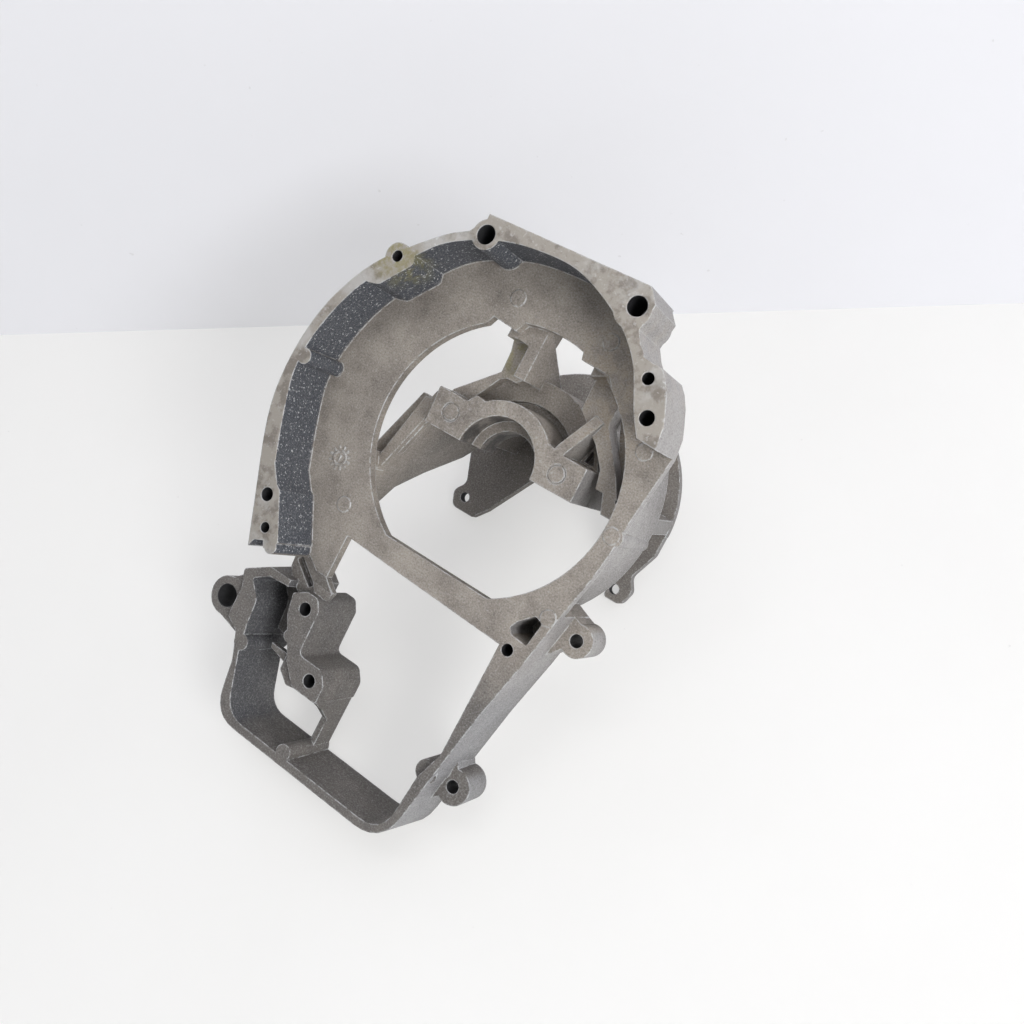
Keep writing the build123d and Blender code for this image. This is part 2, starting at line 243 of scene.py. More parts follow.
def spread(outline: list[Point], amount: float) -> list[Point]:
    """Moves an outline outwards, as draft does.

    Args:
        outline: A closed outline.
        amount: Distance in millimetres.

    Returns:
        The moved outline, with as many points.
    """
    area = sum(a[0] * b[1] - b[0] * a[1] for a, b in zip(outline, outline[1:] + outline[:1]))
    turn = 1.0 if area > 0 else -1.0
    moved = []
    for index, spot in enumerate(outline):
        before = (Vector(spot) - Vector(outline[index - 1])).normalized()
        after = (Vector(outline[(index + 1) % len(outline)]) - Vector(spot)).normalized()
        normal = Vector((before.y + after.y, -before.x - after.x)) * turn
        scale = amount / max(0.5, 1 + before.dot(after))
        moved.append((spot[0] + normal.x * scale, spot[1] + normal.y * scale))
    return moved


class Operation(Enum):
    """What a prism does to the casting."""

    ADD = "UNION"
    CUT = "DIFFERENCE"


class Mould:
    """Casts one closed mesh by adding and cutting prisms in the casting's own axes."""

    def __init__(self, name: str) -> None:
        """Starts an empty casting.

        Args:
            name: Name of the finished object.
        """
        self.name = name
        self.solid: bpy.types.Object | None = None

    @staticmethod
    def row(u: float, v: float, h: float) -> Vector:
        """A casting point in the row frame.

        Args:
            u: Along the joint, in millimetres.
            v: Across the joint.
            h: Along the crank axis.

        Returns:
            The point in metres.
        """
        sin, cos = math.sin(TILT), math.cos(TILT)
        return (CRANK_FOOT + Vector((u, v * cos - h * sin, v * sin + h * cos))) * MM

    @staticmethod
    def _prism(plan: list[Point], first: list[Vector], second: list[Vector]) -> bpy.types.Object:
        """A closed prism between two outlines.

        Args:
            plan: The outline as drawn, from which both ends are filled.
            first: One end's points in metres.
            second: The other end's points, as many.

        Returns:
            The prism.
        """
        build = bmesh.new()
        near = [build.verts.new(point) for point in first]
        far = [build.verts.new(point) for point in second]
        # Both ends take the triangles of the drawn outline, so that an inward bend stays open on each.
        for a, b, c in tessellate_polygon([[Vector((x, y, 0.0)) for x, y in plan]]):
            build.faces.new((near[a], near[b], near[c]))
            build.faces.new((far[c], far[b], far[a]))
        count = len(near)
        for i in range(count):
            j = (i + 1) % count
            build.faces.new((near[j], near[i], far[i], far[j]))
        bmesh.ops.recalc_face_normals(build, faces=build.faces)
        mesh = bpy.data.meshes.new("prism")
        build.to_mesh(mesh)
        build.free()
        prism = bpy.data.objects.new("prism", mesh)
        bpy.context.scene.collection.objects.link(prism)
        return prism

    def _join(self, prism: bpy.types.Object, operation: Operation) -> None:
        """Adds a prism to the casting or cuts it out.

        Args:
            prism: The prism, which is used up.
            operation: What it does.
        """
        if self.solid is None:
            prism.name = self.name
            self.solid = prism
            return
        step = self.solid.modifiers.new("step", "BOOLEAN")
        step.operation = operation.value
        step.solver = "MANIFOLD"
        step.object = prism
        bpy.context.view_layer.update()
        graph = bpy.context.evaluated_depsgraph_get()
        joined = bpy.data.meshes.new_from_object(self.solid.evaluated_get(graph))
        self.solid.modifiers.clear()
        old = self.solid.data
        self.solid.data = joined
        bpy.data.meshes.remove(old)
        spent = prism.data
        bpy.data.objects.remove(prism)
        bpy.data.meshes.remove(spent)

    def add(self, outline: list[Point], top: float, bottom: float, draft: float = 0.0) -> None:
        """Adds a prism along the crank axis.

        Args:
            outline: Its outline at the top.
            top: Level of its top.
            bottom: Level of its bottom.
            draft: Angle in degrees by which it widens downwards.
        """
        low = spread(outline, (top - bottom) * math.tan(math.radians(draft))) if draft else outline
        self.loft(outline, top, low, bottom)

    def loft(self, upper: list[Point], top: float, lower: list[Point], bottom: float) -> None:
        """Adds a body between two outlines.

        Args:
            upper: Outline at the top.
            top: Level of the top.
            lower: Outline at the bottom, with as many points.
            bottom: Level of the bottom.
        """
        ends = [self.row(*p, top) for p in upper], [self.row(*p, bottom) for p in lower]
        self._join(self._prism(upper, *ends), Operation.ADD)

    def cut(self, outline: list[Point], top: float, bottom: float) -> None:
        """Cuts a prism along the crank axis.

        Args:
            outline: Its outline.
            top: Level where the cut starts.
            bottom: Level where it ends.
        """
        ends = ([self.row(*p, level) for p in outline] for level in (top, bottom))
        self._join(self._prism(outline, *ends), Operation.CUT)

    def web(self, start: Point, toward: Point, level: float, outline: list[Point], low: float,
            high: float) -> None:
        """Adds a plate that stands on a line, drawn as (along the line, depth).

        Args:
            start: Where the line starts.
            toward: Where it points.
            level: Level of the line.
            outline: The plate's outline.
            low: Where its thickness starts, to the left of the line.
            high: Where its thickness ends.
        """
        along = (Vector(toward) - Vector(start)).normalized()
        ends = [[self.row(start[0] + along.x * x - along.y * side, start[1] + along.y * x + along.x * side,
                          level - depth) for x, depth in outline] for side in (low, high)]
        self._join(self._prism(outline, *ends), Operation.ADD)

    def bolt(self, u: float, level: float, radius: float, depth: float) -> None:
        """Cuts a hole into the joint face.

        Args:
            u: Place along the joint.
            level: Level of its centre.
            radius: Its radius.
            depth: Its depth.
        """
        ring = circle((u, level), radius)
        ends = ([self.row(x, v, h) for x, h in ring] for v in (-1.0, depth))
        self._join(self._prism(ring, *ends), Operation.CUT)


@dataclass(frozen=True)
class Scroll:
    """Floor, rim and deep walls of the fan scroll.

    The floor is round out to ring and stops at chord, and bar is the edge that it shares with the window. The
    rim runs between the lines outer and inner, which pad closes at the top right and step and end at the
    lower left.
    """

    rim_top: float = RIM_TOP
    floor_t: float = 4.0
    opening: float = 50.0
    ring: float = 55.5
    chord: float = -44.0
    bar: float = WINDOW_TOP
    bar_left: float = -38.5
    frame_in: float = WINDOW_RIGHT
    top: float = 75.0
    top_left: float = -32.4
    top_right: float = 32.7
    top_face: float = 4.0
    ring_wall: Span = (-38.0, 28.0)
    ring_draft: float = 3.0
    outer: tuple[Point, ...] = ((-61.6, -70.5), (-67.8, -54.8), (-78.5, -26.7), (-81.5, -8.0),
                                (-79.9, 12.0), (-74.6, 28.5), (-64.7, 44.5), (-46.5, 61.0), (-36.6, 67.0))
    inner: tuple[Point, ...] = ((52.0, 30.2), (46.8, 37.6), (38.5, 51.5), (26.1, 61.9), (8.0, 69.7),
                                (-8.7, 70.5), (-24.1, 68.0), (-41.7, 60.6), (-53.6, 49.7), (-67.6, 33.2),
                                (-75.5, 13.4), (-77.4, -3.9), (-73.4, -20.4), (-66.8, -38.9))
    pad: tuple[Point, ...] = ((37.0, 70.2), (35.9, 61.0), (38.8, 56.9), (42.0, 53.8), (48.9, 53.2),
                              (51.5, 50.5), (54.3, 46.2), (56.4, 41.6), (58.3, 37.0), (59.4, 29.6))
    step: tuple[Point, ...] = ((-61.8, -45.2), (-59.8, -46.4), (-51.6, -61.2), (-50.4, -63.4))
    end: tuple[Point, ...] = ((-52.2, -66.6), (-55.1, -68.2), (-56.6, -65.7), (-60.4, -67.3))

    def cast(self, mould: Mould) -> None:
        """Casts the scroll.

        Args:
            mould: The casting that it joins.
        """
        low = -self.floor_t
        shell = smooth(list(self.outer)) + [(self.top_left, self.top - 1.9), (self.top_left, self.top),
                                            (self.top_right, self.top), *self.pad]
        at_chord = math.degrees(math.asin(self.chord / self.ring))
        mould.add(arc(self.ring, at_chord, 180.0 - at_chord), 0.0, low)
        bar_edge = [(-8.0, self.bar + 1.6), (self.bar_left, self.bar + 3.0)]
        mould.add(shell + [(30.0, 0.0), *bar_edge, (self.bar_left, -70.6), (-44.0, -70.6), (-50.0, -66.6)],
                  0.0, low)
        mould.add([(30.0, 0.0), self.pad[-1], (self.ring + 0.8, 0.0), (self.ring + 0.5, -8.0), (54.5, -19.0),
                   (51.0, -36.0), (47.0, -58.0), (42.0, -81.0), (self.frame_in, -81.0),
                   (self.frame_in, self.bar), *bar_edge, (self.bar_left, -40.0)], 0.0, low)
        mould.cut(self._opening(), 1.0, low - 1.0)
        mould.add(shell + smooth(list(self.inner)) + [*self.step, *self.end], self.rim_top, low)
        self._pillars(mould, low)
        ledge = self.top - self.top_face
        mould.add([(self.top_left, ledge), (self.top_right, ledge), (self.top_right, self.top),
                   (self.top_left, self.top)], low, -7.0)
        start, end = self.ring_wall
        mould.add(arc(self.ring, start, end) + arc(self.opening, end, start), 0.0, RING_WALL_FOOT,
                  self.ring_draft)

    def _opening(self) -> list[Point]:
        """Outline of the round opening with its flat and two notches.

        Returns:
            The outline.
        """
        r, flat = self.opening, math.degrees(math.asin(self.chord / self.opening))
        return [*arc(r, flat, 54.0), polar(r + 1.7, 60.7), polar(r - 2.3, 73.4), *arc(r, 75.1, 104.3),
                polar(r - 3.2, 107.9), polar(r + 2.1, 118.7), *arc(r, 122.0, 180.0 - flat)]

    def _pillars(self, mould: Mould, low: float) -> None:
        """Casts the screw pillars on the inside of the rim.

        Args:
            mould: The casting that they join.
            low: Level of their feet.
        """
        ear_root = [(-67.5, 34.9), (-60.6, 36.6), (-51.2, 47.9), (-53.2, 54.6), (-64.5, 43.4)]
        mould.add(rounded(ear_root, 2.2), self.rim_top, low)
        for centre, radius in ((COVER_EAR, 5.0), (PAD_LEFT, 5.4), ((30.5, 66.0), 6.5),
                               ((-76.0, 1.0), 3.0), ((-52.5, -66.2), 2.7)):
            mould.add(circle(centre, radius), self.rim_top, low)


@dataclass(frozen=True)
class LowerFrame:
    """The open frame round the cylinder window, with its pocket, bosses and ears.

    Its wall hangs from the level of the scroll floor down to depth, and widens by draft on the way.
    """

    depth: float = 27.0
    draft: float = 2.5
    bottom: float = -142.6
    wall: float = 3.4

    def cast(self, mould: Mould) -> None:
        """Casts the frame.

        Args:
            mould: The casting that it joins.
        """
        low = -self.depth
        self._walls(mould, low)
        for centre in ((-60.0, -111.9), (-21.0, -137.6)):
            mould.add(circle(centre, 3.3), 0.0, low)
        self._pocket(mould)
        self._bosses(mould, low)
        self._shoulder(mould)
        self._ears(mould, low)

    def _walls(self, mould: Mould, low: float) -> None:
        """Casts the drafted wall that runs round the window, from the floor to the pocket.

        Args:
            mould: The casting that it joins.
            low: Level of its foot.
        """
        mould.add(rounded([(34.0, -44.0), (43.0, -33.0), (51.0, -36.0), (47.0, -58.0), (42.0, -81.0),
                           (38.0, -104.0), (31.8, self.bottom), (-56.4, self.bottom), (-60.0, -119.6),
                           (-64.6, -109.2), (-71.0, -106.0), (-71.0, -93.0), (-73.8, -86.2), (-62.6, -79.4),
                           (-52.0, -79.4), (-52.0, -82.2), (-61.5, -83.0), (-68.2, -87.6), (-62.0, -94.0),
                           (-61.2, -104.0), (-59.2, -115.0), (-51.0, self.bottom + self.wall),
                           (29.8, self.bottom + self.wall), (32.0, -113.0), (WINDOW_RIGHT, -101.0),
                           (WINDOW_RIGHT, WINDOW_TOP), (34.0, WINDOW_TOP)],
                          (0, 0, 0, 0, 0, 20, 16, 16, 12, 3, 2, 0, 1.6, 2, 0, 0, 2, 1.2, 5, 12, 12, 12, 12,
                           6, 6, 0, 0)), 0.0, low, self.draft)

    @staticmethod
    def _pocket(mould: Mould) -> None:
        """Casts the pocket's floor and the thin rib across its opening.

        Args:
            mould: The casting that they join.
        """
        mould.add([(-66.0, -84.0), (-62.0, -80.0), (-50.0, -80.0), (-38.0, -84.0), (-38.0, -110.0),
                   (-46.0, -109.0), (-54.0, -107.0), (-64.0, -105.0)], -20.0, -24.0)
        mould.add([(-50.2, -106.4), (-49.6, -108.2), (-40.0, -110.4), (-38.0, -106.5)], -5.0, -8.0)

    @staticmethod
    def _bosses(mould: Mould, low: float) -> None:
        """Casts the stepped stud block and the wall below it.

        Args:
            mould: The casting that they join.
            low: Level of their feet.
        """
        mould.add(rounded([(-48.6, -83.0), (-42.8, -79.4), (-37.4, -79.4), (-34.6, -84.0), (-34.2, -102.0),
                           (-22.0, -101.9), (-18.2, -107.0), (-18.2, -114.2), (-30.6, -114.2),
                           (-37.4, -107.4), (-41.8, -99.5), (-44.6, -95.0), (-46.8, -91.3)],
                          (1, 3, 3, 2, 3, 3.4, 4, 1, 3, 1, 1, 1, 1)), 0.0, low)
        mould.add(circle((-41.6, -98.2), 2.6), 0.0, low)
        mould.add(rounded([(-41.4, -105.0), (-34.0, -104.0), (-28.6, -115.4), (-35.8, -117.0),
                           (-41.4, -113.0)], 1.5), -4.5, low)
        mould.loft([(-21.1, -113.5), (-18.7, -113.5), (-18.7, -140.5), (-21.1, -140.5)], -16.0,
                   [(-26.9, -113.5), (-18.7, -113.5), (-18.7, -140.5), (-26.9, -140.5)], low)
        gusset = [(-1.0, 0.0), (1.5, 1.5), (5.0, 8.0), (9.0, 14.0), (11.0, 17.0), (-1.0, 17.0)]
        mould.web((-18.7, -113.0), (-18.7, -140.0), 0.0, gusset, -2.4, 0.0)

    @staticmethod
    def _shoulder(mould: Mould) -> None:
        """Casts the sloping bridge from the rim's end and the floor to the upper boss, with its channel.

        Args:
            mould: The casting that it joins.
        """
        mould.add([(-54.5, -69.5), (-44.8, -76.3), (-42.5, -79.6), (-36.0, -79.6), (-34.8, -75.6),
                   (-41.0, -71.2), (-50.0, -62.0)], -3.5, -6.5)
        mould.add([(-54.5, -69.5), (-44.8, -76.3), (-44.8, -80.0), (-56.0, -73.0)], -5.0, -22.0)
        crest = [(-52.7, -61.5), (-47.2, -66.1), (-41.0, -69.3), (-38.8, -70.2), (-38.5, -66.0),
                 (-46.0, -60.0)]
        foot = [(-54.0, -69.6), (-49.4, -72.6), (-44.8, -76.0), (-34.8, -76.2), (-41.0, -71.0),
                (-46.0, -60.5)]
        mould.loft(crest, 0.0, foot, -3.6)
        mould.add([(-58.5, -69.0), (-50.0, -66.0), (-42.5, -76.0), (-42.5, -82.0), (-48.7, -84.0),
                   (-55.0, -80.5), (-58.0, -76.0)], -5.0, -10.0)
        channel = [(-57.0, -72.2), (-54.7, -70.2), (-44.6, -77.2), (-46.6, -79.4)]
        mould.cut(rounded(channel, 0.9), -4.0, -8.0)

    @staticmethod
    def _ears(mould: Mould, low: float) -> None:
        """Casts the foot ear and the two ears on the right wall.

        Args:
            mould: The casting that they join.
            low: Level of the small boss's foot.
        """
        mould.add(circle(FOOT_EAR, 8.0), -2.0, -16.0)
        mould.add([(-78.0, -93.0), (-73.0, -88.0), (-66.0, -92.0), (-64.0, -107.0), (-66.0, -110.5),
                   (-77.0, -108.0)], -2.0, -16.0)
        for ear, radius, root in (
                (UPPER_EAR, 6.3, [(55.0, -36.6), (47.0, -34.0), (46.0, -56.0), (53.0, -48.0)]),
                (LOWER_EAR, 7.0, [(40.0, -107.0), (36.0, -101.0), (34.0, -124.0), (38.0, -120.0)])):
            mould.add(circle(ear, radius), SMALL_EAR_TOP, SMALL_EAR_FOOT)
            mould.add(root, SMALL_EAR_TOP, SMALL_EAR_FOOT)
        mould.add(circle((33.5, -110.1), 4.5), -2.0, low)


@dataclass(frozen=True)
class Chamber:
    """Crank chamber, bearing seat, joint lugs, cast arms and back flange.

    The half bowl stands on the flange, and three arms tie it to the back of the scroll floor. Levels that end
    in front or back are heights along the crank axis.
    """

    radius: float = 34.0
    wall: float = 5.0
    front: float = -20.0
    flange_front: float = -84.0
    flange_back: float = -88.5
    flange_radius: float = 48.8
    seat: float = 16.0
    seat_out: float = 21.8
    seat_front: float = -2.4
    seat_depth: float = 11.0
    collar_depth: float = 20.0
    moat_width: float = 2.8
    moat_depth: float = 3.5
    bore: float = 12.0
    floor_back: float = -4.0
    arm_front: float = -10.0
    arm_t: float = 8.0
    arm_end: float = 53.5
    lug_bottom: float = -34.5
    bolt_at: Point = (26.5, -12.5)
    bolt_radius: float = 2.5
    bolt_depth: float = 11.0

    def cast(self, mould: Mould) -> None:
        """Casts the chamber and what holds it.

        Args:
            mould: The casting that it joins.
        """
        mould.add(arc(self.radius, 0, 180), self.front, self.flange_front)
        mould.cut([*arc(self.radius - self.wall, 0, 180), (-29.0, -1.0), (29.0, -1.0)],
                  self.front - self.wall, self.flange_front)
        moat = arc(self.seat_out + self.moat_width, -2, 182) + arc(self.seat_out - 1.0, 182, -2)
        mould.cut(moat, self.front + 1.0, self.front - self.moat_depth)
        self._lugs(mould)
        self._arms(mould)
        self._right_arm(mould)
        self._left_arm(mould)
        self._flange(mould)

    def _lugs(self, mould: Mould) -> None:
        """Casts the seat's collar and the two joint lugs.

        Args:
            mould: The casting that they join.
        """
        back = self.seat_front - self.collar_depth
        mould.add(arc(self.seat_out, 0, 180), self.seat_front, back)
        left = [(-16.0, 0.0), (-32.4, 0.0), (-33.2, 14.4), (-26.0, 14.4), (-20.6, 13.8), (-17.8, 17.6),
                (-13.0, 17.0)]
        right = [(16.0, 0.0), (33.8, 0.0), (33.6, 13.0), (23.0, 13.3), (16.5, 14.5)]
        mould.add(rounded(left, (0, 0, 0.8, 0.8, 2, 1, 0)), self.seat_front, back)
        mould.add(right, self.seat_front, back)
        mould.add([(29.2, 0.0), (33.8, 0.0), (33.6, 13.0), (29.2, 13.0)], self.seat_front,
                  self.seat_front - 37.6)

    def _arms(self, mould: Mould) -> None:
        """Casts the top arm, its web and the brace beside it.

        Args:
            mould: The casting that they join.
        """
        front, root = self.arm_front, [polar(self.arm_end, 110.0), polar(self.arm_end, 95.0)]
        mould.add([*root, (-5.8, 40.6), (-5.6, 31.8), (-9.7, 28.0), (-17.0, 28.0), (-17.4, 37.6),
                   (-18.4, 41.4)], front, front - self.arm_t)
        mould.add([(-18.6, 41.8), (-13.8, 42.6), (-6.2, 41.4), *reversed(root)], self.floor_back, front)
        web = [(-3.0, 0.0), (20.0, 0.0), (20.0, 34.0), (16.0, 34.0), (0.0, 4.0), (-3.0, 4.0)]
        mould.web((-4.2, 50.0), (-4.2, 0.0), self.floor_back, web, -4.8, 0.0)
        brace = [(-33.0, 12.0), (-31.6, 15.4), (-15.9, 30.4), (-10.0, 30.4), (-16.2, 26.6), (-23.0, 15.2),
                 (-23.0, 12.0)]
        mould.add(brace, front, front - 5.0)

    def _right_arm(self, mould: Mould) -> None:
        """Casts the right arm, the deep wall and ledge under it, and the rib to the collar.

        Args:
            mould: The casting that they join.
        """
        front, root = self.arm_front, [polar(self.arm_end, 71.0), polar(self.arm_end, 52.0)]
        arm = [*root, (30.4, 38.0), (30.2, 29.8), (41.8, 14.9), (46.0, 8.0), (37.0, 8.0), (35.2, 14.7),
               (29.0, 22.0), (18.2, 30.5)]
        mould.add(rounded(arm, (0, 0, 2, 6, 4, 0, 0, 3, 6, 0)), front, front - self.arm_t)
        deep_wall = [(25.0, 40.0), (29.0, 37.0), (29.4, 29.4), (41.0, 14.6), (46.0, 7.0), (53.0, 7.0),
                     (53.0, 1.0), (43.0, 1.0), (38.0, 13.0), (26.6, 27.4), (25.0, 33.0)]
        mould.add(deep_wall, front, front - 26.0)
        mould.add([(28.0, 38.0), (38.0, 16.0), (44.0, 6.0), (52.0, 6.0), polar(52.0, 27.0), (36.0, 32.0)],
                  -20.0, -24.0)
        mould.add([(17.6, 42.0), (23.0, 44.6), (30.4, 38.6), *reversed(root)], self.floor_back, front)
        rib = [(-3.0, 0.0), (1.0, 0.0), (16.8, 6.6), (16.8, 19.6), (-3.0, 19.6)]
        mould.web((21.4, 14.4), (26.6, 30.4), self.seat_front, rib, -2.1, 2.1)
        gap = [(24.8, 14.2), (28.9, 14.2), (27.4, 17.2), (25.9, 19.4)]
        mould.cut(gap, self.front + 1.0, self.front - 4.0)

    def _left_arm(self, mould: Mould) -> None:
        """Casts the left arm, its plate and the three-cornered gusset behind them.

        Args:
            mould: The casting that they join.
        """
        front = self.arm_front
        mould.add([(-41.2, 8.0), (-30.0, 8.0), (-30.0, 1.0), (-37.0, 1.0), (-44.4, -22.6), (-48.2, -26.0),
                   (-51.5, -26.0), (-48.2, -21.8)], front, front - 4.0)
        mould.add([(-44.4, 8.6), (-34.0, 8.6), (-42.0, -16.0), (-48.0, -27.0), (-55.0, -22.0)],
                  front - 3.0, front - 6.0)
        mould.add([polar(56.0, 202.0), polar(52.5, 202.0), polar(52.5, 210.0), polar(56.0, 210.0)],
                  self.floor_back, front - 6.0)
        gusset = [(0.0, 0.0), (26.0, 0.0), (30.0, -6.0), (44.0, -6.0), (45.0, 20.0), (34.0, 22.0),
                  (24.0, 33.0), (11.5, 51.0), (4.0, 57.0), (2.0, 76.0), (-11.0, 76.0), (-11.0, 0.0)]
        mould.web((-37.2, 0.0), (-44.7, -23.3), front, gusset, -4.0, 0.0)

    def _flange(self, mould: Mould) -> None:
        """Casts the back flange with its two lugs and the leg up to the ring wall.

        Args:
            mould: The casting that they join.
        """
        top, back, r, low = self.flange_front, self.flange_back, self.flange_radius, self.lug_bottom
        mould.add(arc(r, 0, 180), top, back)
        mould.add(rounded([(0.2 - r, 2.0), (-49.6, -9.0), (-44.4, -22.4), (-48.6, -27.6), (-45.8, low),
                           (-34.4, low), (-29.4, -28.6), (-16.5, -6.9), (-12.0, 2.0)],
                          (0, 3, 4, 3.5, 3.5, 1, 2, 6, 0)), top, back)
        mould.add(rounded([(r - 0.2, 2.0), (48.6, -9.0), (43.9, -21.6), (47.4, -27.2), (45.4, low),
                           (36.6, low), (38.0, -27.4), (30.0, -12.0), (22.0, 2.0)],
                          (0, 3, 4, 3.5, 3.5, 2, 3, 6, 0)), top, back)
        mould.web((0.0, 1.0), (10.0, 1.0), 0.0, [(51.0, 28.0), (55.5, 28.0), (r - 1.0, -back),
                                                 (r - 7.0, -back)], 0.0, 6.5)

    def bore_out(self, mould: Mould) -> None:
        """Cuts the bearing seat and the smaller bore behind it.

        Args:
            mould: The casting that they are cut into.
        """
        mould.cut(circle((0.0, 0.0), self.seat), self.seat_front + 1.0, self.seat_front - self.seat_depth)
        mould.cut(circle((0.0, 0.0), self.bore), self.seat_front + 1.0, self.flange_back - 1.0)
        u, level = self.bolt_at
        for side in (-u, u):
            mould.bolt(side, level, self.bolt_radius, self.bolt_depth)


@dataclass(frozen=True)
class Marks:
    """Ejector discs, the bare casting clock and every drilled hole."""

    disc: float = 3.0
    rise: float = 0.35
    clock: Point = (-56.8, -28.4)
    floor_discs: tuple[Point, ...] = ((49.6, 27.5), (53.4, -2.7), (47.4, -38.4), (-46.0, -42.8),
                                      (20.4, 55.6), (-19.4, 55.4))
    lug_discs: tuple[Point, ...] = ((24.2, 6.4), (-24.4, 7.5))

    def cast(self, mould: Mould) -> None:
        """Casts the marks and drills the holes.

        Args:
            mould: The casting that carries them.
        """
        for centre in self.floor_discs:
            mould.add(circle(centre, self.disc), self.rise, -2.0)
        mould.add(circle((54.8, -2.7), self.disc), 0.0, RING_WALL_FOOT)
        for centre in self.lug_discs:
            mould.cut(circle(centre, 3.6), -1.4, -2.4 - self.rise)
            mould.add(circle(centre, 3.1), -2.4, -4.0)
        self._clock(mould)
        for hole in HOLES:
            mould.cut(circle((hole.u, hole.v), hole.radius), hole.high, hole.low)
        mould.cut(rounded([(36.6, -48.2), (38.0, -45.2), (43.2, -40.0), (46.4, -41.4), (45.0, -50.8),
                           (38.1, -50.1)], (0.6, 1, 1.5, 1.2, 0.8, 1)), 1.0, -21.0)

    def _clock(self, mould: Mould) -> None:
        """Casts a bare ring with short rays, as a casting date mark has.

        Args:
            mould: The casting that carries it.
        """
        u, v = self.clock
        mould.add(circle(self.clock, 3.0), self.rise, -1.0)
        mould.cut(circle(self.clock, 2.3), 1.0, 0.0)
        for number in range(12):
            angle = math.radians(30 * number)
            along = Vector((math.cos(angle), math.sin(angle)))
            side = Vector((-math.sin(angle), math.cos(angle)))
            rows = [Vector(self.clock) + along * reach + side * half
                    for reach, half in ((3.4, -0.3), (4.7, -0.3), (4.7, 0.3), (3.4, 0.3))]
            mould.add([(p.x, p.y) for p in rows], self.rise, -1.0)
        mould.add([(u - 0.25, v - 1.2), (u + 0.25, v - 1.2), (u + 0.25, v + 1.2), (u - 0.25, v + 1.2)],
                  self.rise, -1.0)


class Value:
    """A shader socket that takes part in Python expressions."""

    def __init__(self, shop: "Workshop", socket: bpy.types.NodeSocket) -> None:
        """Wraps a socket.

        Args:
            shop: The node tree's builder.
            socket: The output socket to wrap.
        """
        self.shop = shop
        self.socket = socket

    def _math(self, operation: str, *terms: "Value | float") -> "Value":
        """One Math node on this value.

        Args:
            operation: Name of the Math operation.
            terms: The node's inputs in order.

        Returns:
            The node's result.
        """
        return self.shop.node("ShaderNodeMath", {"operation": operation}, dict(enumerate(terms)))

    def __add__(self, other: "Value | float") -> "Value":
        """Sum."""
        return self._math("ADD", self, other)

    __radd__ = __add__

    def __sub__(self, other: "Value | float") -> "Value":
        """Difference."""
        return self._math("SUBTRACT", self, other)

    def __rsub__(self, other: "Value | float") -> "Value":
        """Difference from a number."""
        return self._math("SUBTRACT", other, self)

    def __mul__(self, other: "Value | float") -> "Value":
        """Product."""
        return self._math("MULTIPLY", self, other)

    __rmul__ = __mul__

    def __truediv__(self, other: "Value | float") -> "Value":
        """Quotient."""
        return self._math("DIVIDE", self, other)

    def high(self, other: "Value | float") -> "Value":
        """The larger of two values."""
        return self._math("MAXIMUM", self, other)

    def root(self) -> "Value":
        """Square root."""
        return self._math("SQRT", self)

    def wave(self) -> "Value":
        """Sine."""
        return self._math("SINE", self)

    def step(self, low: float, high: float) -> "Value":
        """A smooth step.

        Args:
            low: Where the step starts.
            high: Where it ends; below low for a falling step.

        Returns:
            0 before low and 1 after high.
        """
        falling = low > high
        lo, hi = (high, low) if falling else (low, high)
        out = self.shop.node("ShaderNodeMapRange", {"interpolation_type": "SMOOTHSTEP", "clamp": True},
                             {"Value": self, "From Min": lo, "From Max": hi})
        return 1.0 - out if falling else out


